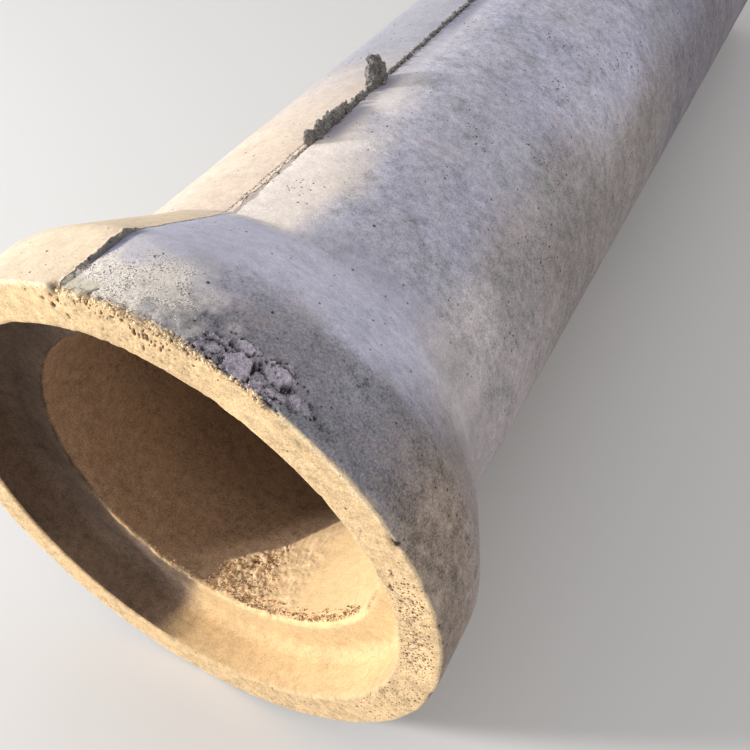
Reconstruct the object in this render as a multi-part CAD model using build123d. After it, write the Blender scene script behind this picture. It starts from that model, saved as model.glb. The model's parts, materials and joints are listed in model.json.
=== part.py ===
from build123d import *
from math import asin, atan2, degrees, hypot, tan
import os

# A socket-and-spigot concrete sewer pipe, cast in one piece, lying on a level floor.
# Its axis runs along +Y from the face of the bell to the spigot end. All sizes are in millimetres.

# Bore and barrel
bore_radius = 300.0
barrel_wall = 55.0
laying_length = 3000.0
spigot_chamfer = 5.0

# Socket inside the bell
joint_gap = 20.0
socket_depth = 83.0
socket_root_radius = 24.0
mouth_edge_radius = 5.0

# Bell outside: a plain band at the mouth, then a straight flare down to the barrel
bell_wall = 65.0
band_length = 123.0
flare_length = 185.0
shoulder_radius = 70.0
flare_root_radius = 26.0
rim_edge_radius = 4.0

# Low ridges left where the two halves of the mould met, higher on the bell than on the barrel
seam_angle = 97.5
bell_seam = 3.0
barrel_seam = 1.5
seam_width = 9.0
seam_stop = 110.0

barrel_radius = bore_radius + barrel_wall
socket_radius = barrel_radius + joint_gap
bell_radius = socket_radius + bell_wall
bell_length = band_length + flare_length
total_length = socket_depth + laying_length
flare_slope = atan2(bell_radius - barrel_radius, flare_length)
shoulder_centre = band_length - shoulder_radius * tan(flare_slope / 2)


def rounded(section, radius, across, along):
    """Round the corner of a section that lies nearest to a radius and a place along the axis."""
    corner = section.vertices().sort_by_distance((across, along, 0))[0]
    return fillet(corner, radius)


def outer_section(bell_skin, barrel_skin, start, end):
    """Half section of the outer form, from the axis out, with its bell and its barrel grown by a skin."""
    section = make_face(Polyline(
        (0, start),
        (bell_radius + bell_skin, start),
        (bell_radius + bell_skin, band_length),
        (barrel_radius + barrel_skin, bell_length),
        (barrel_radius + barrel_skin, end),
        (0, end),
        close=True,
    ))
    section = rounded(section, shoulder_radius + bell_skin, bell_radius + bell_skin, band_length)
    return rounded(section, flare_root_radius - barrel_skin, barrel_radius + barrel_skin, bell_length)


def hollow_section():
    """Half section of the waterway and the socket."""
    section = make_face(Polyline(
        (0, 0),
        (socket_radius, 0),
        (socket_radius, socket_depth),
        (bore_radius, socket_depth),
        (bore_radius, total_length),
        (0, total_length),
        close=True,
    ))
    return rounded(section, socket_root_radius, socket_radius, socket_depth)


def seam_ridges():
    """The two ridges of the mould seam, as a thin slab cut from a grown outer form."""
    section = outer_section(bell_seam, barrel_seam, rim_edge_radius, total_length - seam_stop)
    form = revolve(section, Axis.Y)
    slab = Box(2 * (bell_radius + bell_seam), total_length, seam_width)
    slab = Pos(0, total_length / 2, 0) * slab
    return form & slab.rotate(Axis.Y, -seam_angle)


def edge_ring(body, radius, along):
    """The full circle edge of a given radius at a given place along the axis."""
    rings = body.edges().filter_by(GeomType.CIRCLE)
    rings = rings.filter_by(lambda edge: abs(edge.radius - radius) < 0.01)
    return rings.filter_by(lambda edge: abs(edge.arc_center.Y - along) < 0.01)


def cast_pipe():
    """The whole casting, with its axis on Y and the bell's face at Y = 0."""
    body = revolve(outer_section(0, 0, 0, total_length), Axis.Y)
    body = chamfer(edge_ring(body, barrel_radius, total_length), spigot_chamfer)
    body = fillet(edge_ring(body, bell_radius, 0), rim_edge_radius)
    body = body + seam_ridges()
    body = body - revolve(hollow_section(), Axis.Y)
    return fillet(edge_ring(body, socket_radius, 0), mouth_edge_radius)


def resting_tilt():
    """Slope of the axis when the pipe lies on its bell's shoulder and on the end of its spigot."""
    drop = bell_radius - shoulder_radius - barrel_radius
    reach = total_length - spigot_chamfer - shoulder_centre
    return atan2(drop, reach) + asin(shoulder_radius / hypot(drop, reach))


def laid_down(body):
    """Tilt the pipe onto its two supports and stand the middle of its footprint on the origin."""
    body = body.rotate(Axis.X, -degrees(resting_tilt()))
    box = body.bounding_box()
    return Pos(-box.center().X, -box.center().Y, -box.min.Z) * body


concrete_pipe = laid_down(cast_pipe())
concrete_pipe.label = "concrete_pipe"

os.makedirs("parts", exist_ok=True)
export_step(concrete_pipe, "parts/concrete_pipe.step")
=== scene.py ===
import json
from math import cos, degrees, pi, radians, sin, tan

import bpy
import numpy as np
from mathutils import Matrix, Vector


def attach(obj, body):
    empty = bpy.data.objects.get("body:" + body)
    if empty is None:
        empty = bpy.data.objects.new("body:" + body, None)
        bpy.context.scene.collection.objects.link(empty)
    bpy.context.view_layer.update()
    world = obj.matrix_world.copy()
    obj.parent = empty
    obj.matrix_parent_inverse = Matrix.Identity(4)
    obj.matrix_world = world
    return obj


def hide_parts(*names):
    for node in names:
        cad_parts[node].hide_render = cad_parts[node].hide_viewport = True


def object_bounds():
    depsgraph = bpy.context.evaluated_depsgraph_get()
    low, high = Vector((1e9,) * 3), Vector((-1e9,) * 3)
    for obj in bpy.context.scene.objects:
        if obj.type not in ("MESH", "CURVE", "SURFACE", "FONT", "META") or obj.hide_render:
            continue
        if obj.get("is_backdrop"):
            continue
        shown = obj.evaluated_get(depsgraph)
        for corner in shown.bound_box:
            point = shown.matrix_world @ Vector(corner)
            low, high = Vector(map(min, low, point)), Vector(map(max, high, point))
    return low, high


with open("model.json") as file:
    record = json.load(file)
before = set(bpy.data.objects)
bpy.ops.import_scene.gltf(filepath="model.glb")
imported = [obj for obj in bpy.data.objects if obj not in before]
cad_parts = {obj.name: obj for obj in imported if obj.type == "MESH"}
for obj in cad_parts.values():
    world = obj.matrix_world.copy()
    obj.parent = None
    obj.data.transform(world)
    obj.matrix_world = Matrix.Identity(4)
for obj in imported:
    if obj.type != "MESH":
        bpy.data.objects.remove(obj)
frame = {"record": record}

# A cast concrete sewer pipe lying on a floor: the whole casting as one dense mesh, with its broken rim,
# honeycombed patch, mould seam and the dirt in its bore, and the crumbs and mortar left on them.
# Places on the pipe are given as s, the distance along the axis from the bell's face, r, the
# distance from the axis, and phi, the angle round it from the right-hand side towards the top.
# Lengths are in metres and angles in degrees.

CAD_LOW, CAD_HIGH = (tuple(corner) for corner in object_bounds())
MOUNTS = {mount["name"]: mount for mount in frame["record"]["mounts"]}

# The pipe's own axes, from the mounts
AXIS = np.array(MOUNTS["spigot"]["axis"])
RIGHT = np.array([1.0, 0.0, 0.0])
UP = np.cross(RIGHT, AXIS)
FACE_CENTRE = np.array([0.0, *MOUNTS["bell_face"]["pos_m"][1:]])

# Sizes of the casting
BORE_RADIUS = MOUNTS["waterway"]["dims"]["r_mm"] / 1000
BARREL_RADIUS = MOUNTS["spigot"]["dims"]["r_mm"] / 1000
SOCKET_RADIUS = MOUNTS["socket"]["dims"]["r_mm"] / 1000
BELL_RADIUS = 0.440
SOCKET_DEPTH = 0.083
BAND_LENGTH = 0.123
BELL_LENGTH = 0.308
TOTAL_LENGTH = SOCKET_DEPTH + MOUNTS["waterway"]["dims"]["length_mm"] / 1000
SEAM_ANGLE = 97.5
SEAM_STOP = 0.110
CRACK_ANGLE = 93.1
CRACK_SLANT = 0.6

# The camera, in the pipe's own axes
CAMERA_PLACE = (0.5994, -0.4847, 1.0380)
CAMERA_RIGHT = (0.88369, 0.46808, 0.0001)
CAMERA_DOWN = (0.33169, -0.62606, -0.70572)
CAMERA_FORWARD = (-0.33028, 0.62365, -0.70851)
FOCAL_PIXELS = 854.8
PICTURE_PIXELS = 750
SENSOR_MM = 36.0

# How far the mesh keeps under the bell's surface and inside the box of the CAD part, how far the rim's
# own way of being pushed reaches, and the most triangles of the casting
SKIN = 0.0012
INSIDE_CAD = 0.0001
RIM_REACH = 0.020
TRIANGLES = 195000

# Worn edges: s and r of the edge, how much of it is worn, and the depth and reach of the wear
WORN_EDGES = (
    (0.0, BELL_RADIUS, 0.1, 0.003, 0.007),
    (0.0, SOCKET_RADIUS, 0.0, 0.003, 0.006),
    (SOCKET_DEPTH, BORE_RADIUS, 0.3, 0.006, 0.007),
    (TOTAL_LENGTH, BARREL_RADIUS, 0.1, 0.008, 0.010),
)

# Lumps left standing in the honeycombed patch: s, phi, half length along the pipe, half width in degrees
LUMPS = (
    (0.0180, 67.6, 0.0160, 1.95),
    (0.0400, 62.2, 0.0130, 2.05),
    (0.0115, 63.7, 0.0080, 1.30),
    (0.0175, 60.7, 0.0050, 1.60),
    (0.0270, 57.4, 0.0060, 2.30),
    (0.0150, 71.9, 0.0060, 0.85),
    (0.0135, 73.6, 0.0050, 0.70),
    (0.0290, 71.9, 0.0040, 1.10),
    (0.0450, 68.0, 0.0055, 1.50),
)

# Deep gaps between the lumps, given in the same way
GAPS = (
    (0.0290, 65.2, 0.0085, 0.62),
    (0.0265, 71.3, 0.0026, 1.15),
    (0.0315, 60.2, 0.0045, 1.05),
    (0.0505, 61.4, 0.0012, 1.30),
    (0.0130, 69.5, 0.0026, 0.22),
    (0.0050, 70.7, 0.0016, 0.60),
    (0.0095, 65.1, 0.0034, 0.24),
    (0.0165, 62.4, 0.0022, 0.55),
    (0.0350, 69.3, 0.0020, 0.80),
)

# Breaks in the rim's outer edge: phi, half width in degrees and depth
RIM_BREAKS = (
    (98.5, 0.75, 0.0085),
    (92.1, 0.50, 0.0080),
    (81.4, 0.70, 0.0055),
    (76.2, 0.45, 0.0040),
    (85.4, 0.40, 0.0040),
)

# Holes torn in the end face: phi, r, half width and half height
TORN_HOLES = (
    (83.5, 0.4167, 0.0015, 0.0044),
    (82.6, 0.4152, 0.0013, 0.0033),
    (81.1, 0.4170, 0.0015, 0.0038),
    (82.0, 0.3977, 0.0010, 0.0030),
    (79.7, 0.4125, 0.0011, 0.0019),
    (78.7, 0.4112, 0.0013, 0.0035),
    (85.7, 0.4259, 0.0015, 0.0016),
    (87.6, 0.4242, 0.0015, 0.0016),
    (89.9, 0.4164, 0.0012, 0.0012),
    (88.4, 0.4345, 0.0016, 0.0012),
    (97.4, 0.4015, 0.0019, 0.0016),
    (97.2, 0.3976, 0.0013, 0.0010),
    (99.9, 0.4124, 0.0026, 0.0028),
    (101.8, 0.4190, 0.0024, 0.0018),
    (77.0, 0.4340, 0.0016, 0.0022),
    (74.8, 0.4350, 0.0016, 0.0027),
    (72.8, 0.4159, 0.0017, 0.0010),
    (99.4, 0.4270, 0.0022, 0.0016),
    (98.3, 0.4205, 0.0016, 0.0022),
    (98.0, 0.4318, 0.0014, 0.0020),
    (93.2, 0.4320, 0.0016, 0.0030),
    (92.4, 0.4290, 0.0012, 0.0020),
)

# Groups of smaller holes: phi, r, their spread in degrees and in metres, and their number
HOLE_GROUPS = (
    (81.5, 0.420, 2.4, 0.0060, 14),
    (87.5, 0.426, 2.8, 0.0045, 12),
    (93.5, 0.428, 2.0, 0.0040, 6),
    (75.0, 0.431, 3.0, 0.0030, 10),
)

# Mortar left on the seam: start, end, number of bits, height, half width and size of the bits
MORTAR_RUNS = (
    (0.330, 0.520, 120, 0.0012, 0.0050, 0.0010),
    (0.512, 0.608, 190, 0.0180, 0.0034, 0.0040),
    (0.604, 0.640, 60, 0.0150, 0.0030, 0.0038),
    (0.630, 0.728, 80, 0.0070, 0.0026, 0.0031),
    (0.722, 0.763, 234, 0.0390, 0.0046, 0.0050),
    (0.756, 1.250, 520, 0.0046, 0.0026, 0.0020),
    (1.250, 2.940, 950, 0.0044, 0.0030, 0.0024),
)

# Crumbs in the bore: their number, first and last phi, first and last s, smallest and largest size
CRUMB_GROUPS = (
    (300, -88, -27, 0.086, 0.098, 0.0008, 0.0026),
    (160, -84, -30, 0.090, 0.112, 0.0006, 0.0020),
    (60, -122, -92, 0.085, 0.092, 0.0007, 0.0022),
    (420, -95, -76, 0.090, 0.195, 0.0006, 0.0023),
    (60, -98, -94, 0.090, 0.165, 0.0006, 0.0022),
)


def to_row(points):
    """Points in the pipe's own axes, right, along and up from the bell's face, put in the row frame."""
    points = np.atleast_2d(points)
    return FACE_CENTRE + points[:, :1] * RIGHT + points[:, 1:2] * AXIS + points[:, 2:] * UP


def to_pipe(points):
    """Row-frame points as s, r and phi on the pipe."""
    offset = np.asarray(points) - FACE_CENTRE
    across, along, above = offset @ RIGHT, offset @ AXIS, offset @ UP
    return along, np.hypot(across, above), np.degrees(np.arctan2(above, across))


def on_pipe(s, r, phi):
    """Places given by s, r and phi, in the pipe's own axes."""
    return np.stack([r * np.cos(np.radians(phi)), s, r * np.sin(np.radians(phi))], axis=-1)


# Noise


def lattice(cells, seed):
    """A repeatable random number from -1 to 1 for each whole-number cell."""
    mixed = cells[:, 0] * 73856093 ^ cells[:, 1] * 19349663 ^ cells[:, 2] * 83492791
    mixed = (mixed ^ seed * 2654435761) & 0x7FFFFFFF
    mixed = (mixed ^ (mixed >> 15)) * 2246822519 & 0x7FFFFFFF
    mixed = (mixed ^ (mixed >> 13)) * 3266489917 & 0x7FFFFFFF
    mixed = mixed ^ (mixed >> 16)
    return (mixed & 0xFFFFFF) / float(0x7FFFFF) - 1.0


def noise(points, size, seed):
    """Smooth noise from -1 to 1 whose bumps are about size across."""
    scaled = points / size + 100.0
    low = np.floor(scaled).astype(np.int64)
    part = scaled - low
    part = part * part * part * (part * (part * 6 - 15) + 10)
    total = np.zeros(len(points))
    for corner in range(8):
        step = np.array([corner & 1, corner >> 1 & 1, corner >> 2 & 1])
        weight = np.prod(np.where(step, part, 1 - part), axis=1)
        total += weight * lattice(low + step, seed)
    return total


def layered(points, size, seed, layers=4, fade=0.5):
    """Several octaves of noise added up, each half the size of the one before."""
    total, weight, reach = np.zeros(len(points)), 1.0, 0.0
    for layer in range(layers):
        total += weight * noise(points, size / 2**layer, seed + 17 * layer)
        reach += weight
        weight *= fade
    return total / reach


def stones(points, size, seed):
    """Packed stones about size across: how far each point is inside its stone, and the stone's number."""
    scaled = points / size + 100.0
    low = np.floor(scaled).astype(np.int64)
    first, second = np.full(len(points), 9.0), np.full(len(points), 9.0)
    number = np.zeros(len(points))
    for step in np.ndindex(3, 3, 3):
        cell = low + np.array(step) - 1
        centre = cell + 0.5 + 0.45 * np.stack([lattice(cell, seed + k) for k in (1, 2, 3)], axis=1)
        gap = np.linalg.norm(scaled - centre, axis=1)
        closer = gap < first
        second = np.where(closer, first, np.minimum(second, gap))
        number = np.where(closer, lattice(cell, seed + 4), number)
        first = np.where(closer, gap, first)
    return (second - first) * size, number


def smooth(values, low, high):
    """0 below low, 1 above high and a smooth ramp between, or the other way where high is lower."""
    ramp = np.clip((values - low) / (high - low), 0, 1)
    return ramp * ramp * (3 - 2 * ramp)


def between(values, low, high, edge):
    """1 from low to high, fading out over edge on each side."""
    return smooth(values, low - edge, low) * smooth(values, high + edge, high)


def bump_at(values, centre, width):
    """1 at the centre, falling off on both sides like a bell."""
    return np.exp(-(((values - centre) / width) ** 2))


def oval(s, phi, centre, half):
    """1 at a centre of (s, phi), falling off over a half length and a half width in degrees."""
    return bump_at(np.hypot((phi - centre[1]) / half[1], (s - centre[0]) / half[0]), 0, 1)


def turned(angle, centre):
    """How far an angle lies from a centre, from -180 to 180."""
    return (angle - centre + 180) % 360 - 180


# The section and its grid


def rounded_loop(corners):
    """A closed section through corners of (s, r, rounding): its points, and the corner each belongs to."""
    points, runs = [], []
    for number, (s, r, rounding) in enumerate(corners):
        here = np.array([s, r])
        back = np.array(corners[number - 1][:2]) - here
        onward = np.array(corners[(number + 1) % len(corners)][:2]) - here
        back /= np.linalg.norm(back)
        onward /= np.linalg.norm(onward)
        half = np.arccos(back @ onward) / 2
        sweep = pi - 2 * half
        centre = here + (back + onward) / np.linalg.norm(back + onward) * rounding / sin(half)
        start, end = (here + way * rounding / tan(half) - centre for way in (back, onward))
        side = np.sign(start[0] * end[1] - start[1] * end[0])
        steps = max(int(np.ceil(degrees(sweep) / 9)), 2)
        for turn in np.linspace(0, side * sweep, steps + 1):
            turned_s = start[0] * cos(turn) - start[1] * sin(turn)
            turned_r = start[0] * sin(turn) + start[1] * cos(turn)
            points.append(centre + (turned_s, turned_r))
            runs.append(number)
    return np.array(points), runs


def row_step(run, s, r):
    """How far apart the rows of the grid stand at a place on the section, by the corner it follows."""
    face = 0.0010 if r > BELL_RADIUS - 0.032 else 0.0020
    band = 0.0011 if s < 0.030 else 0.0016 if s < 0.085 else 0.0035
    barrel = 0.009 if s < 0.9 else 0.016
    bore = 0.0022 if s < 0.24 else 0.010 if s < 0.5 else 0.030
    return (face, band, 0.0050, barrel, 0.008, bore, 0.0030, 0.0040)[run] * 1


def divided(start, end, run):
    """Points from the start up to the end of one run, set apart by row_step."""
    length = np.linalg.norm(end - start)
    places, here = [], 0.0
    while here < length:
        places.append(here)
        here += row_step(run, *(start + (end - start) * here / length))
    places = np.array(places) * length / here if here > 0 else np.zeros(1)
    return [start + (end - start) * place / length for place in places]


def section():
    """The pipe's half section, as rows of s and r, with the way each row is pushed out by the relief."""
    corners = [
        (0.0, SOCKET_RADIUS, 0.005),
        (0.0, BELL_RADIUS - SKIN, 0.004),
        (BAND_LENGTH, BELL_RADIUS - SKIN, 0.070),
        (BELL_LENGTH, BARREL_RADIUS, 0.009),
        (TOTAL_LENGTH, BARREL_RADIUS, 0.005),
        (TOTAL_LENGTH, BORE_RADIUS, 0.003),
        (SOCKET_DEPTH, BORE_RADIUS, 0.003),
        (SOCKET_DEPTH, SOCKET_RADIUS, 0.024),
    ]
    points, runs = rounded_loop(corners)
    rows = []
    for number, start in enumerate(points):
        end = points[(number + 1) % len(points)]
        if np.linalg.norm(end - start) > 1e-7:
            rows += divided(start, end, runs[number])
    rows = np.array(rows)
    tangent = np.roll(rows, -1, axis=0) - np.roll(rows, 1, axis=0)
    tangent /= np.linalg.norm(tangent, axis=1)[:, None]
    ways = np.stack([-tangent[:, 1], tangent[:, 0]], axis=1)
    corner = np.array([0.0, BELL_RADIUS - SKIN])
    rim = np.linalg.norm(rows - corner, axis=1) < RIM_REACH
    from_heart = rows[rim] - (corner + np.array([RIM_REACH, -RIM_REACH]))
    ways[rim] = from_heart / np.linalg.norm(from_heart, axis=1)[:, None]
    return rows, ways


def columns():
    """The angles round the pipe, closest on the seams and on the broken side of the rim."""
    zones = [
        (-180, 0.8), (-118, 0.4), (-84.4, 0.2), (-80.6, 0.4), (-24, 0.3),
        (52, 0.15), (72, 0.11), (101, 0.4), (112, 0.8), (180, 0),
    ]
    angles = []
    for (start, step), (end, _) in zip(zones, zones[1:]):
        count = int(round((end - start) / (step * 1)))
        angles += list(np.linspace(start, end, count, endpoint=False))
    return np.array(angles)


def kept_inside(points):
    """Row-frame points, held just inside the box of the CAD part."""
    return np.clip(points, np.array(CAD_LOW) + INSIDE_CAD, np.array(CAD_HIGH) - INSIDE_CAD)


def pipe_mesh():
    """The whole casting as one closed grid, pushed in and out by its relief."""
    rows, ways = section()
    angles = columns()
    s, r, way_s, way_r = (np.repeat(values, len(angles)) for values in (*rows.T, *ways.T))
    phi = np.tile(angles, len(rows))
    push = relief(s, r, phi, way_r)
    points = kept_inside(to_row(on_pipe(s + push * way_s, r + push * way_r, phi)))
    row, column = np.meshgrid(np.arange(len(rows)), np.arange(len(angles)), indexing="ij")
    next_row, next_column = (row + 1) % len(rows), (column + 1) % len(angles)
    wide = len(angles)
    faces = np.stack([
        row * wide + column,
        next_row * wide + column,
        next_row * wide + next_column,
        row * wide + next_column,
    ], axis=-1).reshape(-1, 4)
    return points, faces


# Relief


def relief(s, r, phi, way_r):
    """How far the surface stands out of its plain form at each point, in metres."""
    place = on_pipe(s, r, phi)
    outside = smooth(way_r, -0.2, 0.3)
    push = layered(place, 0.30, 3, 3) * 0.0014 * (1 - 0.5 * smooth(s, 0.25, 0.0))
    push += layered(place, 0.050, 5, 2) * 0.0005 * outside
    push -= edge_wear(place, s, r, phi)
    push -= face_holes(s, r, phi)
    push += seam_relief(place, s, r, phi) * smooth(way_r, 0.50, 0.85)
    rim = np.flatnonzero((s < 0.13) & (r > SOCKET_RADIUS + 0.014) & (phi > 52) & (phi < 104))
    push[rim] += broken_rim(place[rim], s[rim], r[rim], phi[rim])
    in_bore = (s > SOCKET_DEPTH) & (s < 0.6) & (r < BORE_RADIUS + 0.02)
    bed = np.flatnonzero(in_bore & (phi > -130) & (phi < -15))
    push[bed] += bore_dirt(place[bed], s[bed], phi[bed])
    return push


def edge_wear(place, s, r, phi):
    """The soft wear of every edge, and chips low on the rim's outer edge."""
    coarse = layered(place, 0.020, 11, 3, 0.65)
    chipped = bump_at(phi, 32, 1.6) + bump_at(phi, -12.5, 1.8) + 0.6 * bump_at(phi, 12, 0.8)
    wear = 0.006 * chipped * (1 + coarse) * bump_at(np.hypot(s, r - BELL_RADIUS), 0, 0.008)
    for along, out, share, depth, reach in WORN_EDGES:
        wear += np.clip(coarse + share, 0, None) * depth * bump_at(np.hypot(s - along, r - out), 0, reach)
    return wear


def face_holes(s, r, phi):
    """How deep the surface lies in the holes of the end face."""
    depth = np.zeros(len(s))
    on_face = (s < 0.004) & (r > SOCKET_RADIUS) & (r < BELL_RADIUS + 0.001) & (phi > -20) & (phi < 110)
    near = np.flatnonzero(on_face)
    ragged = 0.35 * noise(on_pipe(s[near], r[near], phi[near]), 0.0022, 53)
    for angle, radius, wide, tall in all_holes():
        across = np.radians(turned(phi[near], angle)) * radius
        gap = np.hypot(across / wide, (r[near] - radius) / tall) + ragged
        hit = gap < 1.5
        depth[near[hit]] = np.maximum(depth[near[hit]], wide * 3.4 * smooth(gap[hit], 1.5, 0.6))
    return depth


def all_holes():
    """The torn holes under the broken edge, groups of smaller ones and small round ones low at the right."""
    chance = np.random.default_rng(7)
    holes = list(TORN_HOLES)
    for angle, radius, spread, rise, count in HOLE_GROUPS:
        for _ in range(count):
            place = (angle + spread * chance.normal(), radius + rise * chance.normal())
            holes.append((*place, chance.uniform(0.0007, 0.0011), chance.uniform(0.0009, 0.0020)))
    for _ in range(90):
        place = (8.0 + 6.5 * chance.normal(), 0.404 + 0.010 * chance.normal())
        holes.append((*place, chance.uniform(0.0008, 0.0014), 0.0011))
    return holes


def broken_rim(place, s, r, phi):
    """Bits broken out of the rim's outer edge, and the lumps and gaps of the honeycombed patch beside it."""
    from_edge = np.hypot(s, r - BELL_RADIUS)
    worn = between(phi + 2 * layered(place, 0.03, 21, 3), 60.5, 98.5, 2.5)
    worn *= 1 - 0.8 * between(phi, 93.8, 96.8, 0.5)
    crumbled = layered(place, 0.012, 22, 4, 0.8)
    bite = 0.0065 * smooth(crumbled, -0.02, 0.30) * bump_at(from_edge, 0, 0.0065)
    for angle, width, depth in RIM_BREAKS:
        here = bump_at(turned(phi + 0.4 * crumbled, angle), 0, width)
        bite += depth * here * bump_at(from_edge, 0, 0.0085)
    inside, number = stones(place, 0.0040, 26)
    loosened = 0.0018 * smooth(number, -0.1, 0.7) + 0.0010 * smooth(inside, 0.0008, 0.0)
    bite += loosened * bump_at(from_edge, 0, 0.0095)
    pores = 0.0008 * layered(place, 0.007, 24, 2, 0.8) * between(phi, 72, 97, 4) * smooth(s, 0.11, 0.03)
    patch = smooth(r, BELL_RADIUS - 0.010, BELL_RADIUS - 0.003)
    return patch * honeycomb(place, s, phi, number) - worn * bite + pores


def nearest_edge(place, s, phi, forms):
    """How far each point lies outside the nearest of some ragged rounded forms, in metres."""
    along = s + 0.0030 * noise(place, 0.013, 31)
    round_pipe = phi + 0.40 * noise(place, 0.013, 36)
    nearest = np.full(len(s), 1.0)
    for centre, angle, half, half_angle in forms:
        gap = np.hypot((along - centre) / half, (round_pipe - angle) / half_angle)
        nearest = np.minimum(nearest, (gap - 1) * (half + np.radians(half_angle) * BELL_RADIUS) / 2)
    chunks = stones(place, 0.0085, 35)[1]
    chips = stones(place, 0.0040, 26)[1]
    return nearest + 0.0030 * chunks + 0.0014 * chips


def honeycomb(place, s, phi, number):
    """The relief of the patch that was never filled: lumps with gravel and deep gaps between them."""
    lump = smooth(nearest_edge(place, s, phi, LUMPS), 0.0010, -0.0010)
    gap = smooth(nearest_edge(place, s, phi, GAPS), 0.0012, -0.0012)
    coarse = layered(place, 0.012, 38, 4, 0.75)
    top = 0.0006 + 0.0026 * coarse + 0.0008 * number
    rubble = np.minimum(-0.0018 + 0.0060 * layered(place, 0.008, 39, 3, 0.8) + 0.0016 * number, 0.0)
    return honeycomb_bed(place, s, phi) * (lump * top + (1 - lump) * rubble - 0.0080 * gap)


def honeycomb_bed(place, s, phi):
    """Where the concrete beside the rim was never filled, from 0 to 1."""
    return smooth(nearest_edge(place, s, phi, LUMPS), 0.0075, 0.0040)


def seam_relief(place, s, r, phi):
    """The ridge, the step and the crumbled edge where the two halves of the mould met."""
    on_bell = smooth(s, 0.150, 0.118)
    on_flare = between(s, 0.150, 0.295, 0.02)
    crumble = layered(place, 0.016, 31, 3, 0.7)
    grit = layered(place, 0.006, 33, 2, 0.7)
    wander = seam_wander(place)
    push = np.zeros(len(s))
    for angle, strength in ((SEAM_ANGLE, 1.0), (SEAM_ANGLE - 180, 0.7)):
        off = np.radians(turned(phi, angle)) * r - wander
        lip = (0.0016 + 0.0030 * smooth(s, 0.03, 0.11)) * on_bell
        proud = lip * smooth(off, -0.0008, 0.0008) * smooth(off, 0.075, 0.010)
        ridge = bump_at(off, 0.0010, 0.0036) * (0.0016 + 0.0040 * crumble + 0.002 * grit)
        groove = bump_at(off, -0.0028, 0.0018) * (0.0024 + 0.003 * np.clip(-crumble, 0, 1))
        push += strength * (proud + (ridge - groove) * (1 - 0.8 * on_flare))
    from_crack = np.radians(turned(phi, CRACK_ANGLE)) * r + CRACK_SLANT * s
    crack = bump_at(from_crack, 0, 0.0014) * smooth(s, 0.024, 0.014)
    push -= 0.0030 * crack * (r > BELL_RADIUS - 0.012)
    near_end = smooth(s, TOTAL_LENGTH - SEAM_STOP + 0.01, TOTAL_LENGTH - SEAM_STOP - 0.02)
    return push * near_end


def seam_wander(place):
    """How far the seam strays from a straight line."""
    return 0.0016 * noise(place, 0.10, 32) + 0.0009 * noise(place, 0.025, 34)


def bore_dirt(place, s, phi):
    """Sand and broken concrete bedded in the bottom of the bore's mouth."""
    ragged = layered(place, 0.10, 41, 3)
    bed = between(phi, -118, -32, 10) * smooth(s + 0.10 * ragged, 0.55, 0.28) * smooth(s, 0.083, 0.100)
    rubble = rubble_bed(place, s, phi)
    inside, number = stones(place, 0.0105, 45)
    heap = 0.0016 * smooth(inside, 0, 0.004) + 0.0016 * number
    heap += 0.0042 * layered(place, 0.026, 49, 4, 0.7) + 0.0016 * layered(place, 0.006, 50, 2, 0.8)
    oblong = smooth(np.hypot((phi + 88.0) / 1.4, (s - 0.170) / 0.0045), 1.1, 0.8)
    return bed * (0.0012 + 0.0008 * ragged + rubble * heap) * (1 - oblong) - 0.0095 * oblong


def rubble_bed(place, s, phi):
    """Where broken concrete lies in the bore, from 0 to 1, ending where the painted light in the bore ends.
    """
    ragged = layered(place, 0.06, 43, 3)
    across = between(phi + 5 * ragged, -98, -80, 2) + 0.5 * between(phi + 9 * ragged, -80, -70, 6)
    across = np.minimum(across, 1) * smooth(lit_reach(phi) - s + 0.012 * ragged, -0.003, 0.006)
    return across * smooth(s, 0.085, 0.093)


def lit_reach(phi):
    """How far in from the bell's face the pale sand and the painted light on it reach at each angle; the
    edge is a painted shadow edge.
    """
    left = 0.206 + 0.0043 * (phi + 84)
    right = np.minimum(0.206 + 0.0066 * (phi + 84), 0.327 - 0.003 * (phi + 65))
    return np.where(phi < -84, left, right)


# Building pieces


def placed(name, data):
    """A new object of the scene."""
    item = bpy.data.objects.new(name, data)
    bpy.context.scene.collection.objects.link(item)
    return item


def new_mesh(name, points, faces, rounded=True):
    """A mesh object from arrays, riding on the pipe's one body."""
    mesh = bpy.data.meshes.new(name)
    mesh.vertices.add(len(points))
    mesh.vertices.foreach_set("co", np.asarray(points, np.float32).ravel())
    sides = faces.shape[1]
    mesh.loops.add(faces.size)
    mesh.loops.foreach_set("vertex_index", faces.astype(np.int32).ravel())
    mesh.polygons.add(len(faces))
    mesh.polygons.foreach_set("loop_start", np.arange(0, faces.size, sides, dtype=np.int32))
    mesh.update(calc_edges=True)
    mesh.validate()
    mesh.polygons.foreach_set("use_smooth", np.full(len(mesh.polygons), rounded))
    mesh.materials.append(CONCRETE)
    piece = placed(name, mesh)
    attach(piece, "root")
    return piece


def bake_modifiers(piece):
    """Give the piece the mesh that its modifiers make, and drop them."""
    graph = bpy.context.evaluated_depsgraph_get()
    mesh = bpy.data.meshes.new_from_object(piece.evaluated_get(graph))
    piece.modifiers.clear()
    old = piece.data
    piece.data = mesh
    bpy.data.meshes.remove(old)
    mesh.polygons.foreach_set("use_smooth", np.ones(len(mesh.polygons), bool))


def thin_out(piece, triangles):
    """Merge the triangles of flat stretches until the piece has about the stated number."""
    have = sum(len(polygon.vertices) - 2 for polygon in piece.data.polygons)
    if have <= triangles:
        return
    lean = piece.modifiers.new("lean", "DECIMATE")
    lean.ratio = triangles / have
    bake_modifiers(piece)


def read_vectors(items, name):
    """A vector property of many mesh items, as an array."""
    values = np.zeros(len(items) * 3, np.float32)
    items.foreach_get(name, values)
    return values.reshape(-1, 3).astype(float)


def vertex_places(piece):
    return read_vectors(piece.data.vertices, "co")


def vertex_normals(piece):
    return read_vectors(piece.data.vertex_normals, "vector")


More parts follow.
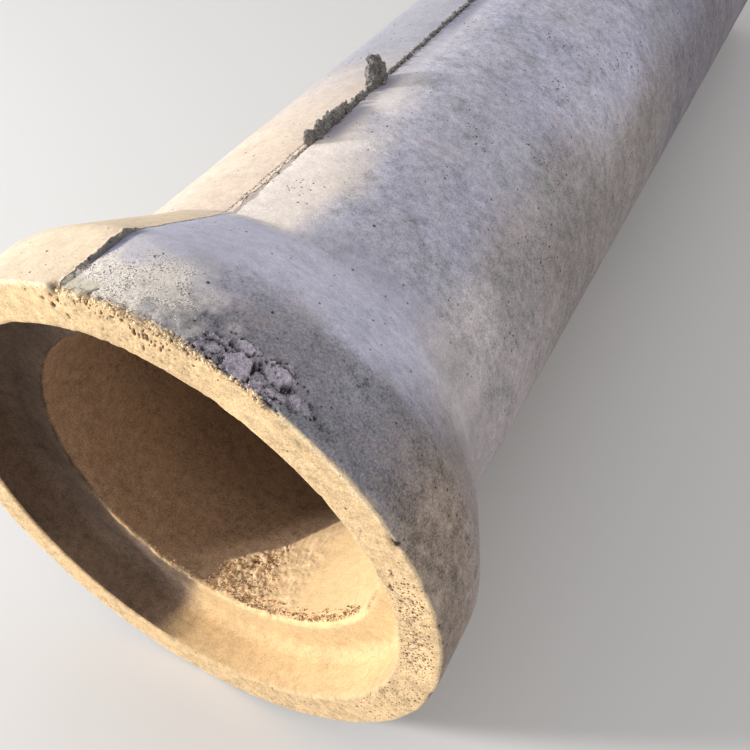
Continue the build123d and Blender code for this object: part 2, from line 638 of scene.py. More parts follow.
def paint(piece, name, values):
    """Store one number for each vertex, for the material to read."""
    layer = piece.data.attributes.new(name, "FLOAT", "POINT")
    layer.data.foreach_set("value", np.clip(values, 0, 1).astype(np.float32))


def edge_ends(mesh):
    """The numbers of the two vertices of each edge, as two arrays."""
    ends = np.zeros(len(mesh.edges) * 2, np.int32)
    mesh.edges.foreach_get("vertices", ends)
    return ends.reshape(-1, 2).T


def cavity(piece, rounds):
    """How far each vertex lies under the surface that repeated smoothing would give, in metres."""
    first, second = edge_ends(piece.data)
    places = vertex_places(piece)
    count = len(places)
    neighbours = np.bincount(first, minlength=count) + np.bincount(second, minlength=count)
    soft = places
    for _ in range(rounds):
        totals = [
            np.bincount(first, line[second], count) + np.bincount(second, line[first], count)
            for line in soft.T
        ]
        soft = np.stack(totals, axis=1) / neighbours[:, None]
    return np.einsum("ij,ij->i", soft - places, vertex_normals(piece))


def sunk(s, r):
    """How far each point lies under the plain section."""
    push = np.full(len(s), 9.0)
    best = np.full(len(s), 9.0)
    for row, way in zip(*section()):
        gap_s, gap_r = s - row[0], r - row[1]
        gap = gap_s * gap_s + gap_r * gap_r
        closer = gap < best
        best[closer] = gap[closer]
        push[closer] = gap_s[closer] * way[0] + gap_r[closer] * way[1]
    return -push


def main_piece():
    """The casting itself, with the zones that its material reads."""
    points, faces = pipe_mesh()
    piece = new_mesh("pipe_casting", points, faces)
    thin_out(piece, TRIANGLES)
    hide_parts("concrete_pipe")
    s, r, phi = to_pipe(vertex_places(piece))
    place = on_pipe(s, r, phi)
    deep = sunk(s, r)
    face = smooth(s, 0.0045, 0.0020) * smooth(r, SOCKET_RADIUS - 0.01, SOCKET_RADIUS)
    torn = smooth(s, 0.0100, 0.0060) * smooth(deep, 0.0010, 0.0022)
    torn *= between(phi, 73, 98, 3) * (r > BELL_RADIUS - 0.02)
    face = np.maximum(face, torn)
    outside = smooth(r, BARREL_RADIUS - 0.025, BARREL_RADIUS - 0.012)
    outside *= 1 - smooth(r, SOCKET_RADIUS + 0.024, SOCKET_RADIUS + 0.006) * smooth(s, 0.086, 0.082)
    paint_outside(piece, place, s, phi, outside * (1 - face))
    paint_face(piece, place, r, phi, face)
    paint_inside(piece, place, s, r, phi)
    paint(piece, "hollow", hollows(piece, place, s, r, phi, deep))
    return piece


def hollows(piece, place, s, r, phi, deep):
    """Where the surface lies in a hole, a gap or a notch, from 0 to 1; painted shade goes there."""
    dense = smooth(s, 0.17, 0.12) * smooth(r, SOCKET_RADIUS + 0.006, SOCKET_RADIUS + 0.012)
    holes = smooth(face_holes(0 * s, r, phi), 0.0005, 0.0014) * smooth(s, 0.010, 0.008)
    holes *= 0.4 + 0.6 * smooth(phi, 40, 60)
    patch = honeycomb_bed(place, s, phi) * smooth(s, 0.002, 0.006)
    hollow = dense * np.maximum(smooth(cavity(piece, 14) - 0.0003 * patch, 0.00025, 0.00085), holes)
    hollow *= 1 - 0.75 * bump_at(turned(phi, SEAM_ANGLE), 0, 1.4) * (s > 0.006)
    # Painted shade in the breaks of the rim's edge
    notches = bump_at(turned(phi, 98.4), 0, 0.85) + 0.9 * bump_at(turned(phi, 92.0), 0, 0.5)
    notches *= bump_at(np.hypot(s - 0.002, r - BELL_RADIUS + 0.004), 0, 0.0085)
    return np.maximum(np.maximum(hollow, notches), smooth(deep, 0.0042, 0.0085))


def paint_outside(piece, place, s, phi, outside):
    """Zones of the bell's and the barrel's outer surface."""
    rough = layered(place, 0.08, 61, 3)
    broad = layered(place, 0.35, 62, 3)
    fine = layered(place, 0.025, 66, 3, 0.7)
    zones = {
        "outside": 1.0,
        **painted_sunlight_zones(s, phi, rough, broad),
        **barrel_zones(s, phi, rough, broad),
        **bell_zones(s, phi, rough, broad, fine),
        **rim_zones(place, s, phi, rough, fine),
    }
    for name, amount in zones.items():
        paint(piece, name, outside * amount)
    # How far along the barrel the painted sunlight fades out
    paint(piece, "faded_sunlight", smooth(s + 0.06 * rough, 0.50, 0.98))


def painted_sunlight_zones(s, phi, rough, broad):
    """Painted sunlight: a pale warm colour at the left, on the barrel and on the bell, and where the surface
    is calm.
    """
    bell = smooth(s, 0.315, 0.285)
    near = smooth(s + 0.10 * broad, 0.62, 0.42)
    low_edge = 75 + 8 * smooth(s, 0.43, 0.33) + 8 * smooth(s, 0.98, 1.15)
    painted_sunlight = (1 - bell) * smooth(phi + 12 * broad + 7 * rough, low_edge, 97 - 6 * near)
    painted_sunlight *= smooth(phi + 10 * broad, 172, 115)
    # A painted shadow of the large mortar lump, cut out of the painted sunlight
    painted_sunlight *= 1 - 0.75 * oval(s + 0.05 * rough, phi + 5 * rough, (0.622, 87), (0.040, 5.5))
    # Painted sunlight on the bell's left half
    sunlit_left_half = bell * smooth(phi + 14 * rough + 12 * broad, 174, 108) * (phi > 80)
    calm = np.maximum(np.maximum(painted_sunlight, sunlit_left_half), 0.6 * between(s, 0.16, 0.34, 0.05))
    return {"painted_sunlight": painted_sunlight, "sunlit_left_half": sunlit_left_half, "calm": calm}


def barrel_zones(s, phi, rough, broad):
    """The barrel's blue-grey top, a painted tint of shade; its warmer right side; painted shade that darkens
    its lower right side and a band along it; and its clusters of pits.
    """
    far_right = smooth(s, 1.25, 1.60) * between(phi + 8 * broad, -60, 42, 12)
    # Painted shade in a band along the barrel, and over its far right side
    painted_dimming = 0.17 * between(phi + 5 * rough, 48, 66, 10) * between(s, 0.34, 0.86, 0.08)
    return {
        "painted_dimming": np.maximum(painted_dimming, 0.65 * far_right),
        # A blue-grey painted tint of shade under the sky
        "bluish_sky_shade": between(phi + 14 * broad, 30, 100, 26),
        "beige": between(phi + 18 * broad + 14 * smooth(s, 0.8, 1.3), -75, 32, 22),
        # Painted shade, darker towards the ground
        "shaded_low_side": between(phi + 10 * broad, -60, 20, 14) * smooth(s, 0.45, 0.75),
        "clustered": smooth(rough, 0.22, 0.5) * (1 - 0.8 * smooth(s, 0.315, 0.285)),
    }


def bell_zones(s, phi, rough, broad, fine):
    """The bell's dark band with its lighter places, its paler shoulder, the flare's blue-grey tint, which is
    painted shade, and the speckled side, whose pale is partly painted light.
    """
    reach = s + 0.0018 * np.clip(phi - 58, -30, 40) + 0.03 * broad + 0.03 * rough + 0.03 * fine
    dark_side = smooth(np.abs(turned(phi, 48) + 10 * rough + 8 * fine), 51, 20 + 7 * (phi > 48))
    dark_side *= 1 - 0.22 * smooth(s, 0.05, 0.10) * smooth(phi, 60, 68)
    dark_side *= 1 - 0.38 * oval(s, phi + 6 * rough, (0.092, 49), (0.035, 7))
    # The speckled side's pale colour is partly painted light
    speckled_side = between(phi + 6 * rough + 6 * fine, 86, 99, 10)
    pale_side = between(s + 0.05 * rough, 0.26, 0.44, 0.06) * between(phi + 8 * broad, 24, 40, 10)
    # The flare's blue-grey tint is painted shade
    flare = between(s + 0.02 * rough, 0.16, 0.27, 0.05) * between(phi + 10 * broad, 46, 97, 20)
    return {
        "grime": smooth(reach, 0.198, 0.098) * dark_side,
        "brown": smooth(s + 0.08 * broad, 0.26, 0.05) * between(phi + 10 * broad, -80, 24, 18),
        "pale_side": np.maximum(pale_side, oval(s, phi, (0.056, 71.4), (0.009, 1.2))),
        "speckled": smooth(s + 0.05 * rough + 0.02 * fine, 0.145, 0.080) * speckled_side,
        "flare": flare * (0.7 + 0.3 * smooth(phi, 65, 85)),
    }


def rim_zones(place, s, phi, rough, fine):
    """The smooth corner that the crack cuts off, and the honeycombed patch with its lumps."""
    wedge = smooth(phi + np.degrees(CRACK_SLANT * s / BELL_RADIUS), 93.0, 93.3) * smooth(phi, 97.4, 97.2)
    wedge *= smooth(s + 0.01 * rough, 0.036, 0.026)
    skim = between(phi + 3 * fine, 83.5, 91, 1) * smooth(s + 0.006 * fine, 0.018, 0.010)
    bed = honeycomb_bed(place, s, phi)
    return {
        "clean": np.maximum(wedge, 0.45 * skim),
        "honeycomb": bed,
        "lump": bed * smooth(nearest_edge(place, s, phi, LUMPS), 0.0008, -0.0020),
    }


def paint_face(piece, place, r, phi, face):
    """Zones of the bell's end face."""
    rough = layered(place, 0.05, 63, 3)
    cluster = between(phi + 5 * rough, -4, 21, 5) * between(r, 0.388, 0.424, 0.010)
    cluster += 0.5 * between(phi + 5 * rough, -34, -8, 6) * between(r, 0.384, 0.424, 0.010)
    edge = smooth(r, BELL_RADIUS - 0.010, BELL_RADIUS - 0.004)
    paint(piece, "face", face)
    paint(piece, "lip", face * edge * (0.4 + 0.6 * smooth(phi, 20, 60)))
    paint(piece, "pitted", face * (0.02 + cluster))


def paint_inside(piece, place, s, r, phi):
    """Zones of the socket and the bore."""
    rough = layered(place, 0.08, 64, 3)
    crisp = layered(place, 0.012, 67, 3, 0.7)
    socket = smooth(s, 0.092, 0.086) * smooth(r, SOCKET_RADIUS + 0.010, SOCKET_RADIUS + 0.004)
    bore = smooth(r, BORE_RADIUS + 0.02, BORE_RADIUS + 0.008) * smooth(s, 0.076, 0.084)
    # The lower right of the bore, where pale sand and painted light lie
    low = smooth(phi + 3 * rough + 2 * crisp, -97.5, -95) * smooth(phi + 10 * rough, -4, -20)
    low *= smooth(s, 0.42, 0.37)
    # Pale sand with painted light, in the bore and on the socket's lower right
    bed = np.maximum(bore * low, 0.75 * socket * between(phi + 6 * rough, -97, 0, 9))
    # A pale rim round the bore's edge: worn sandy concrete and a painted highlight where light grazes it
    mouth_edge = bump_at(np.hypot(s - SOCKET_DEPTH, r - BORE_RADIUS), 0, 0.0045)
    mouth_edge *= between(phi + 9 * rough, -138, -20, 12)
    rubble = bore * rubble_bed(place, s, phi)
    zones = {
        "socket": socket,
        # The socket's left side, darker with dirt and with painted shade
        "dirt_and_shade": socket * smooth(np.abs(turned(phi, 172)) + 12 * rough, 62, 22),
        "bore": bore * (1 - smooth(s, TOTAL_LENGTH - 0.3, TOTAL_LENGTH)),
        # Painted shade, darker deeper in the bore
        "deep": bore * smooth(s, 0.20, 0.34) * smooth(s, 2.2, 1.2),
        "bed": np.maximum(bed, 0.8 * mouth_edge),
        "rubble": rubble,
        "settled": bed * (1 - rubble),
        # Where the painted light on the pale sand ends
        "painted_light_edge": np.where(s < 0.09, 1.0, 0.5 + 4 * (lit_reach(phi) - s)),
    }
    for name, amount in zones.items():
        paint(piece, name, amount)


def angular_bits(places, sizes, chance):
    """Small broken stones with flat sides and sharp corners, one at each place, in the pipe's own axes."""
    corners = np.array(list(np.ndindex(2, 2, 2))) * 2.0 - 1.0
    faces = np.array([(0, 1, 3, 2), (4, 6, 7, 5), (0, 4, 5, 1), (2, 3, 7, 6), (0, 2, 6, 4), (1, 5, 7, 3)])
    count = len(places)
    stretch = chance.uniform(0.40, 0.95, (count, len(corners), 1))
    turns, _ = np.linalg.qr(chance.normal(size=(count, 3, 3)))
    turns *= np.sign(np.linalg.det(turns))[:, None, None]
    points = np.einsum("nij,nkj->nki", turns, corners * stretch)
    points = places[:, None, :] + points * np.asarray(sizes).reshape(count, 1, -1)
    all_faces = faces[None] + len(corners) * np.arange(count)[:, None, None]
    return points.reshape(-1, 3), all_faces.reshape(-1, 4)


def for_each_corner(values, points):
    """Numbers given for each bit, repeated for each of its corners."""
    return np.repeat(values, len(points) // len(values))


def seam_mortar():
    """Mortar that ran out of the mould's joint and was left standing along the barrel."""
    chance = np.random.default_rng(19)
    places, sizes = [], []
    for start, end, count, tall, wide, thick in MORTAR_RUNS:
        part = np.sort(chance.uniform(0, 1, count))
        crest = 0.62 + 0.38 * np.abs(np.sin(pi * part)) ** 0.5 + 0.22 * np.sin(part * 17 + count)
        crest = np.where(tall > 0.01, crest, chance.uniform(0.2, 1.0, count))
        height = chance.uniform(0, 1, count) * tall * crest
        s = start + (end - start) * part
        across = wide * chance.normal(size=count) * (1 - 0.6 * height / tall) + 0.004 * (tall < 0.004)
        places.append(on_pipe(s, BARREL_RADIUS + height, SEAM_ANGLE + np.degrees(across / BARREL_RADIUS)))
        size = thick * chance.uniform(0.6, 1.5, count)
        sizes.append(np.stack([size, size, size * chance.uniform(0.9, 1.9, count)], axis=1))
    points, faces = angular_bits(np.concatenate(places), np.concatenate(sizes), chance)
    piece = new_mesh("seam_mortar", to_row(points), faces)
    merged = piece.modifiers.new("merged", "REMESH")
    merged.mode = "VOXEL"
    merged.voxel_size = 0.0012
    bake_modifiers(piece)
    roughen(piece, 0.0011)
    paint(piece, "mortar", np.ones(len(piece.data.vertices)))


def roughen(piece, amount):
    """Push a piece's surface in and out by fine noise, and mark the hollows for painted shade."""
    places = vertex_places(piece)
    push = amount * (layered(places, 0.007, 51, 3, 0.8) + 0.4 * noise(places, 0.0022, 52))
    places += vertex_normals(piece) * push[:, None]
    piece.data.vertices.foreach_set("co", places.astype(np.float32).ravel())
    paint(piece, "hollow", 0.7 * smooth(-push, 0.1 * amount, 0.8 * amount))


def bore_crumbs():
    """Loose crumbs of concrete along the bore's edge and over the broken bed behind it."""
    chance = np.random.default_rng(23)
    places, sizes = [], []
    for count, low, high, near, far, small, large in CRUMB_GROUPS:
        phi = chance.uniform(low, high, count)
        phi += 1.5 * np.sin(phi * 2.1) + 0.8 * np.sin(phi * 5.3)
        size = small + (large - small) * chance.uniform(0, 1, count) ** 2.5
        # The crumbs stop at the edge of the painted light
        farthest = np.clip(lit_reach(phi) - 0.004, min(far, 0.094), far)
        s = near + (farthest - near) * chance.uniform(0, 1, count)
        places.append(on_pipe(s, BORE_RADIUS - 0.0024 - size * 0.4, phi))
        sizes.append(size[:, None] * chance.uniform(0.6, 1.2, (count, 3)))
    points, faces = angular_bits(np.concatenate(places), np.concatenate(sizes), chance)
    piece = new_mesh("bore_crumbs", to_row(points), faces, rounded=False)
    shade = for_each_corner(chance.uniform(0, 1, sum(map(len, places))), points)
    # The crumbs take the pale sand's colour with its painted light
    for zone in ("bed", "painted_light_edge", "rubble"):
        paint(piece, zone, np.ones(len(points)))
    paint(piece, "hollow", 0.80 * smooth(shade, 0.35, 0.75))


def rim_crumbs(casting):
    """Bits of stone and sand left standing in the rim's broken edge and in the patch beside it."""
    chance = np.random.default_rng(29)
    s, r, phi = to_pipe(vertex_places(casting))
    place = on_pipe(s, r, phi)
    edge = (np.hypot(s, r - BELL_RADIUS) < 0.011) & (phi > 60.5) & (phi < 98.0)
    patch = (honeycomb_bed(place, s, phi) > 0.3) & (r > BELL_RADIUS - 0.012) & ~edge
    on_edge = chance.choice(np.flatnonzero(edge), 1500)
    on_patch = chance.choice(np.flatnonzero(patch), 420)
    chosen = np.concatenate([on_edge, on_patch])
    size = 0.0004 + 0.0013 * chance.uniform(0, 1, len(chosen)) ** 2.5
    sizes = size[:, None] * chance.uniform(0.7, 1.3, (len(chosen), 3))
    points, faces = angular_bits(place[chosen], sizes, chance)
    piece = new_mesh("rim_crumbs", kept_inside(to_row(points)), faces, rounded=False)
    sandy = (s[chosen] < 0.0045) & (r[chosen] < BELL_RADIUS - 0.0015)
    sandy |= (s[chosen] < 0.0090) & (phi[chosen] > 74)
    shade = chance.uniform(0, 1, len(chosen))
    zones = {
        "face": sandy * 1.0,
        "lip": sandy * 1.0,
        "outside": ~sandy * 1.0,
        "honeycomb": ~sandy * 0.8,
        "hollow": 0.5 * smooth(shade, 0.80, 0.95),
    }
    for name, amount in zones.items():
        paint(piece, name, for_each_corner(amount, points))


# Material


def srgb(red, green, blue):
    """A colour as it shows, from 0 to 255, as Blender's linear numbers."""
    parts = [value / 255 for value in (red, green, blue)]
    linear = [part / 12.92 if part <= 0.04045 else ((part + 0.055) / 1.055) ** 2.4 for part in parts]
    return (*linear, 1.0)


class Number:
    """A number of the material's node tree, for sums written as they are in Python."""

    def __init__(self, socket):
        self.socket = socket

    def __add__(self, other):
        return calculated("ADD", self, other)

    def __sub__(self, other):
        return calculated("SUBTRACT", self, other)

    def __rsub__(self, other):
        return calculated("SUBTRACT", other, self)

    def __mul__(self, other):
        return calculated("MULTIPLY", self, other)

    def __truediv__(self, other):
        return calculated("DIVIDE", self, other)

    def __abs__(self):
        return calculated("ABSOLUTE", self)

    __radd__ = __add__
    __rmul__ = __mul__

    def larger(self, other):
        return calculated("MAXIMUM", self, other)

    def ramp(self, low, high, start=0.0, end=1.0):
        """Start below low, end above high and a smooth ramp between, or turned round where high is lower."""
        node = make("ShaderNodeMapRange", clamp=True, interpolation_type="SMOOTHSTEP")
        for socket, value in zip(node.inputs, (self, low, high, start, end)):
            put(socket, value)
        return Number(node.outputs["Result"])


def make(kind, inputs=(), **settings):
    """A new node with its settings, and with its inputs linked or set."""
    node = TREE.nodes.new(kind)
    for key, value in settings.items():
        setattr(node, key, value)
    for key, value in dict(inputs).items():
        put(node.inputs[key], value)
    return node


def put(socket, value):
    """Link an output to a socket, or set the socket's own value."""
    value = value.socket if isinstance(value, Number) else value
    if isinstance(value, bpy.types.NodeSocket):
        TREE.links.new(value, socket)
    else:
        socket.default_value = value


def calculated(operation, first, second=0.0):
    return Number(make("ShaderNodeMath", {0: first, 1: second}, operation=operation).outputs["Value"])


def mix(amount, under, over, way="MIX"):
    """A colour mixed over another. Plain colours are given as they show, from 0 to 255."""
    under, over = (srgb(*value) if isinstance(value, tuple) else value for value in (under, over))
    inputs = {"Factor": amount, 6: under, 7: over}
    return make("ShaderNodeMix", inputs, data_type="RGBA", blend_type=way).outputs[2]


def laid_over(colour, *layers):
    """Colours mixed one over another, each by its own amount."""
    for amount, over in layers:
        colour = mix(amount, colour, over)
    return colour


def zone(name):
    """The numbers painted on the vertices under a name."""
    return Number(make("ShaderNodeAttribute", attribute_name=name).outputs["Fac"])


def grains(scale, detail, rough, stretch=(1.0, 1.0, 1.0)):
    """Noise from 0 to 1 over the object, whose coordinates are first multiplied by a stretch."""
    where = make("ShaderNodeMapping", {"Vector": WHERE, "Scale": stretch}).outputs["Vector"]
    inputs = {"Vector": where, "Scale": scale, "Detail": detail, "Roughness": rough}
    return Number(make("ShaderNodeTexNoise", inputs).outputs["Fac"])


def distance_along(way):
    """How far a point lies from the middle of the bell's face along a direction."""
    centred = {0: WHERE, 1: tuple(FACE_CENTRE)}
    offset = make("ShaderNodeVectorMath", centred, operation="SUBTRACT").outputs["Vector"]
    node = make("ShaderNodeVectorMath", {0: offset, 1: tuple(way)}, operation="DOT_PRODUCT")
    return Number(node.outputs["Value"])


def pits(scale, density):
    """Small round holes: 1 in a hole, where density is the share of cells that have one."""
    cell = make("ShaderNodeTexVoronoi", {"Vector": WHERE, "Scale": scale}, feature="F1")
    chance = make("ShaderNodeSeparateColor", {"Color": cell.outputs["Color"]})
    open_here = calculated("LESS_THAN", chance.outputs["Red"], density)
    reach = Number(chance.outputs["Green"]).ramp(0.0, 1.0, 0.24, 0.54)
    return (1.0 - Number(cell.outputs["Distance"]) / reach).ramp(0.0, 0.45) * open_here


def bump(height, distance, strength, under=None):
    """A normal bent by a height, on top of the normal under it."""
    node = make("ShaderNodeBump", {"Height": height, "Distance": distance, "Strength": strength})
    if under:
        put(node.inputs["Normal"], under)
    return node.outputs["Normal"]


CONCRETE = bpy.data.materials.new("weathered_concrete")
CONCRETE.use_nodes = True
TREE = CONCRETE.node_tree
TREE.nodes.clear()
WHERE = make("ShaderNodeTexCoord").outputs["Object"]

# The noises that every part of the surface shares, from broad clouds to single grains
BROAD = grains(4.2, 3.0, 0.6)
CLOUD = grains(15.0, 5.0, 0.66, (0.7, 1.0, 0.7))
MOTTLE = grains(62.0, 4.0, 0.70)
BRUSHED = grains(120.0, 3.0, 0.65, (0.5, 1.0, 0.5))
GRIT = grains(310.0, 3.0, 0.7)
FLECK = grains(640.0, 2.0, 0.6)


def tone():
    """All the noises added up about 0, each with its own weight."""
    weights = {BROAD: 0.50, CLOUD: 1.00, MOTTLE: 1.25, BRUSHED: 0.45, GRIT: 1.50, FLECK: 0.90}
    return sum((value * weight for value, weight in weights.items()), -0.5 * sum(weights.values()))


def weathered_colour():
    """The grey outside: blue-grey on top and on the flare, a painted tint of shade under the sky; warmer at
    the right; dark near the rim; with painted shade low at the right and in a band along the barrel. The
    painted sunlight at the left is laid on in beside_seam.
    """
    blue = mix(BROAD.ramp(0.38, 0.62), (196, 194, 214), (192, 190, 203))
    plain = laid_over(
        # The blue-grey top is a painted tint of shade under the sky
        mix(zone("bluish_sky_shade"), (190, 185, 184), blue),
        (zone("beige"), (176, 167, 168)),
        (CLOUD.ramp(0.56, 0.68, 0, 0.35), (164, 149, 152)),
        (CLOUD.ramp(0.44, 0.34, 0, 0.35), (172, 177, 176)),
        (GRIT.ramp(0.60, 0.68, 0, 0.40), (124, 116, 120)),
    )
    grime = laid_over(
        mix(MOTTLE.ramp(0.42, 0.60), (150, 145, 155), (120, 117, 121)),
        (FLECK.ramp(0.54, 0.62, 0, 0.45), (66, 62, 68)),
        (FLECK.ramp(0.45, 0.38, 0, 0.45), (182, 178, 186)),
        (CLOUD.ramp(0.55, 0.64, 0, 0.5), (128, 114, 112)),
        (CLOUD.ramp(0.45, 0.36, 0, 0.5), (118, 124, 122)),
    )
    return laid_over(
        plain,
        (zone("grime") * CLOUD.ramp(0.30, 0.52, 0.70, 0.97), grime),
        (zone("brown"), mix(MOTTLE, (148, 131, 118), (162, 147, 135))),
        # Painted shade, darker towards the ground
        (zone("shaded_low_side") * 0.8, (150, 142, 140)),
        (zone("pale_side") * 0.6, (210, 201, 202)),
        # The flare's blue-grey tint is painted shade
        (zone("flare") * 0.75, (212, 210, 229)),
        # Painted shade in a band along the barrel and on its far right side
        (zone("painted_dimming"), (132, 129, 141)),
    )


def beside_seam(colour):
    """Painted sunlight to the left of the seam and, on the barrel, a little to its right, fading further
    along; speckled to its right, its pale partly painted light; and smooth by the crack.
    """
    over_seam = seam_distance().ramp(-0.0006, 0.0006)
    # Painted sunlight in two warm tones, one on each side of the seam, and the greyer tones where it fades
    # out
    painted_sunlight = mix(over_seam, (247, 234, 224), (233, 213, 193))
    faded_sunlight = mix(over_seam, (214, 210, 216), (178, 176, 185))
    specks = (FLECK * 0.5 + GRIT * 0.5).ramp(0.488, 0.553)
    specks = specks * MOTTLE.ramp(0.36, 0.56, 0.35, 1.0)
    return laid_over(
        colour,
        (zone("painted_sunlight"), mix(zone("faded_sunlight"), painted_sunlight, faded_sunlight)),
        # Painted sunlight on the bell's left half
        (zone("sunlit_left_half") * over_seam, (234, 212, 184)),
        # Speckled concrete right of the seam; its pale is partly painted light
        (zone("speckled") * over_seam.ramp(1, 0), mix(specks, (255, 246, 234), (126, 106, 102))),
        (zone("clean"), (217, 207, 188)),
    )


def plane_distance(angle):
    """How far a point lies to the left of the plane through the axis at an angle."""
    return distance_along(cos(radians(angle)) * UP - sin(radians(angle)) * RIGHT)


def seam_distance():
    """How far a point lies to the left of the mould seam, with the seam's small strays."""
    return plane_distance(SEAM_ANGLE) + (MOTTLE - 0.5) * 0.009


def with_seam(colour):
    """The dark dirt in the mould seam and the crack, with painted shade in the seam's groove, and a painted
    shadow in a strip beside the seam.
    """
    along = distance_along(AXIS)
    off = seam_distance()
    dark = seam_line(off, along).larger(crack_line(along))
    inside_end = along.ramp(TOTAL_LENGTH - SEAM_STOP + 0.01, TOTAL_LENGTH - SEAM_STOP - 0.02)
    amount = dark * zone("outside") * inside_end * GRIT.ramp(0.36, 0.50, 0.55, 0.90)
    return laid_over(
        colour,
        # Painted shadow beside the seam
        (shaded_strip(off, along) * zone("outside"), (140, 138, 160)),
        # Dark dirt in the seam and the crack; in the bell's groove it is also painted shade
        (amount, mix(along.ramp(0.290, 0.310), (120, 117, 111), (80, 75, 75))),
    )


def seam_line(off, along):
    """Where the seam is dark: a groove on the bell, a line on the flare, a crumbled line on the barrel."""
    fine = abs(off).ramp(0.0015, 0.0006)
    width = along.ramp(0.045, 0.080, 0.0018, 0.0046) + along.ramp(0.118, 0.150, 0, -0.0046)
    # The groove's dark is dirt and painted shade
    groove = (off + width).ramp(0.0, 0.0016) * off.ramp(0.0010, -0.0002)
    second = abs(off - 0.010).ramp(0.0034, 0.0012)
    crumbled = second.larger(fine) * along.ramp(0.56, 0.50)
    under_mortar = off.ramp(-0.003, 0.0) * off.ramp(0.006, 0.003) * along.ramp(0.50, 0.56)
    crumbled = crumbled.larger(under_mortar) * GRIT.ramp(0.47, 0.55) * along.ramp(0.290, 0.310)
    weak_stretch = abs(along - 0.415).ramp(0.09, 0.12, 0.4, 1.0)
    return (fine * weak_stretch).larger(groove).larger(crumbled)


def shaded_strip(off, along):
    """A painted shadow in a strip in the lee of the seam's step on the bell, and of the mortar on the
    barrel.
    """
    barrel = along.ramp(0.30, 0.50)
    reach = along.ramp(0.045, 0.100, -0.006, -0.019) + barrel * -0.026
    strip = ((off - reach) / (barrel * 0.022 + 0.005)).ramp(0.0, 1.0) * off.ramp(0.001, -0.001)
    on_bell = along.ramp(0.040, 0.060) * along.ramp(0.150, 0.125)
    low_lump = along.ramp(0.515, 0.560) * along.ramp(0.690, 0.640, 0.30, 0.75)
    high_lump = along.ramp(0.700, 0.730) * along.ramp(0.800, 0.760) * 0.45
    far_end = along.ramp(0.940, 1.040) * along.ramp(1.600, 1.200) * 0.50
    return strip * (on_bell + (low_lump + high_lump + far_end))


def crack_line(along):
    """A short crack that runs from the rim towards the seam, and cuts a smooth corner off."""
    off = plane_distance(CRACK_ANGLE) + along * CRACK_SLANT
    return abs(off).ramp(0.0016, 0.0006) * along.ramp(0.024, 0.016)


def sandy_colours(colour):
    """The sand-coloured end face, the socket and bore made darker by dirt and by painted shade, and the pale
    sand in the bore's mouth with painted light on it.
    """
    clouds = CLOUD.ramp(0.35, 0.65)
    face = laid_over(
        mix(clouds, (224, 192, 148), (212, 180, 137)),
        (MOTTLE.ramp(0.55, 0.70, 0, 0.35), (224, 178, 138)),
        (MOTTLE.ramp(0.44, 0.32, 0, 0.40), (206, 184, 138)),
        (zone("lip"), (238, 214, 176)),
        (zone("pitted") * 0.5, (244, 208, 160)),
    )
    brown = mix(clouds, (168, 139, 113), (150, 123, 98))
    return laid_over(
        colour,
        # The bore's brown, with painted shade deeper in
        (zone("bore"), mix(zone("deep") * 0.5, brown, (106, 82, 62))),
        (zone("socket"), mix(CLOUD, (130, 109, 93), (106, 89, 77))),
        # The socket's left side, darker with dirt and with painted shade
        (zone("dirt_and_shade"), (90, 73, 61)),
        # Pale sand with painted light on it
        (zone("bed") * within_painted_light(), mix(CLOUD, (255, 220, 166), (246, 207, 153))),
        # Pale broken concrete, only where the painted light falls
        (zone("rubble") * 0.80, mix(GRIT.ramp(0.46, 0.62), (255, 230, 188), (216, 152, 108))),
        (zone("face"), face),
    )


def within_painted_light():
    """1 where the pale sand of the bore and the painted light on it lie, and 0 beyond their ragged edge."""
    return (zone("painted_light_edge") + (CLOUD - 0.5) * 0.10).ramp(0.485, 0.515)


def broken_colours(colour):
    """The colours of the honeycombed patch, of its lumps and of the mortar."""
    gritty = GRIT.ramp(0.40, 0.62)
    lump = mix(gritty, (222, 212, 228), (150, 141, 153))
    return laid_over(
        colour,
        (zone("honeycomb") * 0.85, mix(zone("lump"), mix(gritty, (200, 190, 203), (116, 108, 118)), lump)),
        (zone("mortar"), mix(gritty, (150, 145, 140), (92, 88, 86))),
    )


def pitting():
    """Dark pits: a few all over the outside, more in clusters and most on the end face."""
    few = zone("outside") * 0.006 + zone("clustered") * 0.16
    large = pits(170.0, few + zone("pitted") * 0.12)
    small = pits(260.0, few + zone("pitted") * 0.80)
    return large.larger(small)


def fine_relief():
    """Grain too fine for the mesh, stronger on loose stuff and on the speckled concrete by the seam."""
    loose = zone("honeycomb") + (zone("rubble") + zone("mortar"))
    normal = bump(MOTTLE, 0.0016, 0.50)
    normal = bump(BRUSHED, 0.0007, 0.40, normal)
    normal = bump(GRIT, 0.0008, loose * 0.6 + 0.35, normal)
    return bump(FLECK, 0.0005, zone("speckled") * 0.6 + 0.25, normal)


def paint_concrete():
    """Weathered concrete: grey outside, sandy on the end face, brown in the bore, with its dirt and pits,
    and with painted light and shade.
    """
    colour = broken_colours(sandy_colours(beside_seam(weathered_colour())))
    calm = zone("calm").larger(zone("settled") * within_painted_light() * 0.9)
    strength = calm.ramp(0, 1, 1, 0.4) + zone("grime") * 0.45
    colour = laid_over(
        with_seam(mix(1.0, colour, tone() * strength + 1.0, "MULTIPLY")),
        # Painted shade in holes, gaps, notches and hollows; on the loose crumbs it makes some of them darker
        (zone("hollow") * 0.86, (56, 47, 42)),
        (pitting() * 0.94, mix(zone("face"), (78, 66, 60), (72, 46, 26))),
    )
    shader = make("ShaderNodeBsdfPrincipled", {
        "Base Color": colour,
        "Roughness": MOTTLE.ramp(0.3, 0.7, 0.86, 0.98),
        "Specular IOR Level": 0.25,
        "Normal": fine_relief(),
    })
    make("ShaderNodeOutputMaterial", {"Surface": shader.outputs["BSDF"]})


# Stage


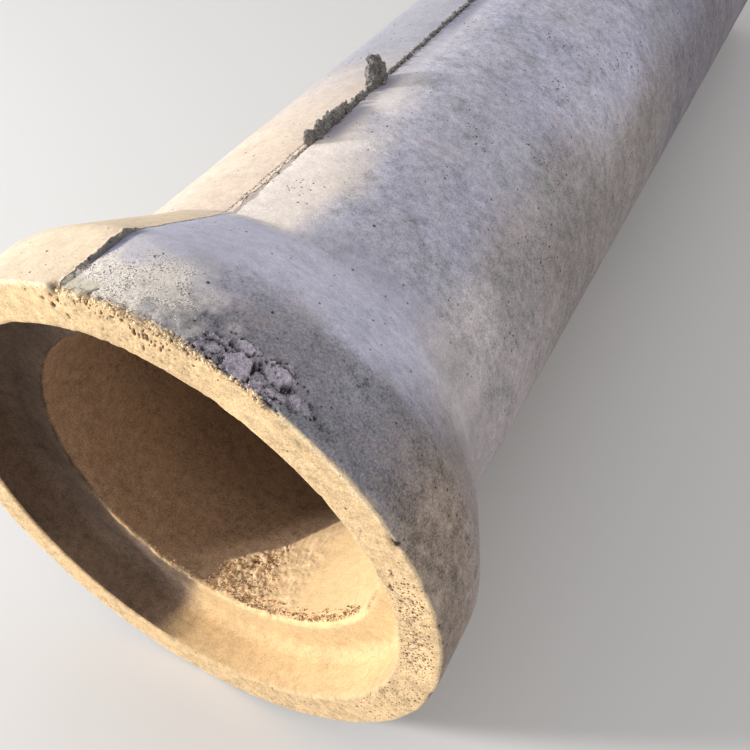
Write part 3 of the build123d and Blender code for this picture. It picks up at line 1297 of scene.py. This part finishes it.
def floor():
    """A wide pale floor under the pipe."""
    half = 30.0
    points = np.array([[-half, -half, 0], [half, -half, 0], [half, half, 0], [-half, half, 0]])
    mesh = bpy.data.meshes.new("floor")
    mesh.from_pydata(points.tolist(), [], [[0, 1, 2, 3]])
    material = bpy.data.materials.new("floor")
    material.use_nodes = True
    shader = material.node_tree.nodes["Principled BSDF"]
    shader.inputs["Base Color"].default_value = srgb(224, 222, 220)
    shader.inputs["Roughness"].default_value = 0.95
    mesh.materials.append(material)
    placed("floor", mesh)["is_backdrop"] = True


def soft_lamp(name, place, target, size, power):
    """A square soft lamp at a place, turned to a target."""
    data = bpy.data.lights.new(name, "AREA")
    data.size = size
    data.energy = power
    lamp = placed(name, data)
    lamp.location = place
    lamp.rotation_mode = "QUATERNION"
    lamp.rotation_quaternion = (Vector(target) - Vector(place)).to_track_quat("-Z", "Y")


def lights():
    """Even light from all round, and one soft lamp low at the left."""
    world = bpy.data.worlds.new("studio")
    bpy.context.scene.world = world
    world.use_nodes = True
    background = world.node_tree.nodes["Background"]
    background.inputs["Color"].default_value = (1.0, 1.0, 1.0, 1.0)
    background.inputs["Strength"].default_value = 0.66
    soft_lamp("key", place=(-5.72, -5.0, 2.7), target=(0.0, -1.3, 0.4), size=0.9, power=565.0)


def camera():
    """The camera at the photograph's place, set in the pipe's own axes."""
    data = bpy.data.cameras.new("camera")
    data.sensor_width = SENSOR_MM
    data.lens = SENSOR_MM * FOCAL_PIXELS / PICTURE_PIXELS
    data.clip_start = 0.05
    eye = placed("camera", data)
    place = to_row(CAMERA_PLACE)[0]
    ways = (CAMERA_RIGHT, CAMERA_DOWN, CAMERA_FORWARD)
    right, down, forward = (to_row(way)[0] - FACE_CENTRE for way in ways)
    rows = [(right[axis], -down[axis], -forward[axis], place[axis]) for axis in range(3)]
    eye.matrix_world = Matrix([*rows, (0, 0, 0, 1)])
    bpy.context.scene.camera = eye


bpy.context.scene.view_settings.view_transform = "Standard"
paint_concrete()
casting = main_piece()
seam_mortar()
bore_crumbs()
rim_crumbs(casting)
floor()
lights()
camera()
